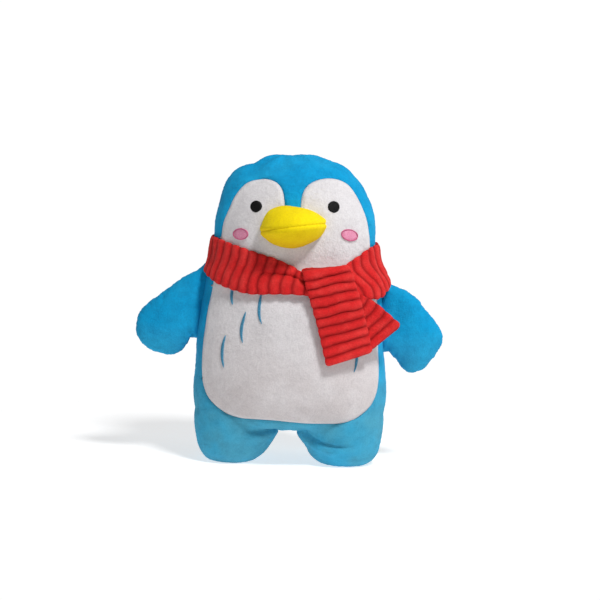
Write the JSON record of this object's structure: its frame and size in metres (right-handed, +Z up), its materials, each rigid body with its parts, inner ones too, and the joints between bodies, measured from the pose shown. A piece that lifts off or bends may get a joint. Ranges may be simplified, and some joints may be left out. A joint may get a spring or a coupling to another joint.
{
  "type": "plush toy penguin",
  "caption": "Stuffed plush penguin standing on two short legs, with a white face and belly, padded beak, sewn-on flippers and a knotted ribbed scarf.",
  "frame": {"origin": "on the floor under the middle of the overall width and depth", "axes": "+Z up, the toy faces -Y, its own left side is +X; at rest it stands on its soles at Z = 0"},
  "size_m": [0.2182, 0.1035, 0.22],
  "materials": {
    "blue_plush": "short-pile plush",
    "white_plush": "short-pile plush",
    "yellow_fleece": "fine-pile fleece",
    "polyester_fill": "loose fibre",
    "black_thread": "satin-stitched thread",
    "pink_thread": "satin-stitched thread",
    "rose_thread": "satin-stitched thread",
    "slate_thread": "satin-stitched thread",
    "red_corduroy": "wide-rib corduroy"
  },
  "bodies": {
    "body": {"body_front_panel": "blue_plush", "body_back_panel": "blue_plush", "white_front_panel": "white_plush", "body_stuffing": "polyester_fill", "beak_upper": "yellow_fleece", "beak_lower": "yellow_fleece", "beak_stuffing": "polyester_fill", "left_eye": "black_thread", "right_eye": "black_thread", "left_cheek": "pink_thread", "right_cheek": "pink_thread", "left_cheek_outline": "rose_thread", "right_cheek_outline": "rose_thread", "left_feather_stitches": "slate_thread", "right_feather_stitches": "slate_thread", "scarf_band": "red_corduroy", "scarf_knot": "red_corduroy"},
    "left_flipper": {"left_flipper_front": "blue_plush", "left_flipper_back": "blue_plush", "left_flipper_stuffing": "polyester_fill"},
    "right_flipper": {"right_flipper_front": "blue_plush", "right_flipper_back": "blue_plush", "right_flipper_stuffing": "polyester_fill"},
    "front_tail": {"scarf_front_tail": "red_corduroy"},
    "rear_tail": {"scarf_rear_tail": "red_corduroy"}
  },
  "joints": [
    {"name": "left_flipper_swing", "type": "hinge", "parent": "body", "child": "left_flipper", "pos_m": [0.0655, 0.0082, 0.109], "axis": [0.1115, 0, -0.9938], "range_deg": [-44, 40], "stiffness_Nm_per_rad": 0.004},
    {"name": "right_flipper_swing", "type": "hinge", "parent": "body", "child": "right_flipper", "pos_m": [-0.0655, 0.0082, 0.109], "axis": [0.1115, 0, 0.9938], "range_deg": [-44, 44], "stiffness_Nm_per_rad": 0.004},
    {"name": "front_tail_lift", "type": "hinge", "parent": "body", "child": "front_tail", "pos_m": [0.02701, -0.03687, 0.12347], "axis": [-0.9399, -0.2834, -0.1903], "range_deg": [0, 90]},
    {"name": "rear_tail_lift", "type": "hinge", "parent": "body", "child": "rear_tail", "pos_m": [0.04824, -0.02435, 0.11698], "axis": [-0.7767, -0.1618, -0.6087], "range_deg": [0, 50]}
  ]
}
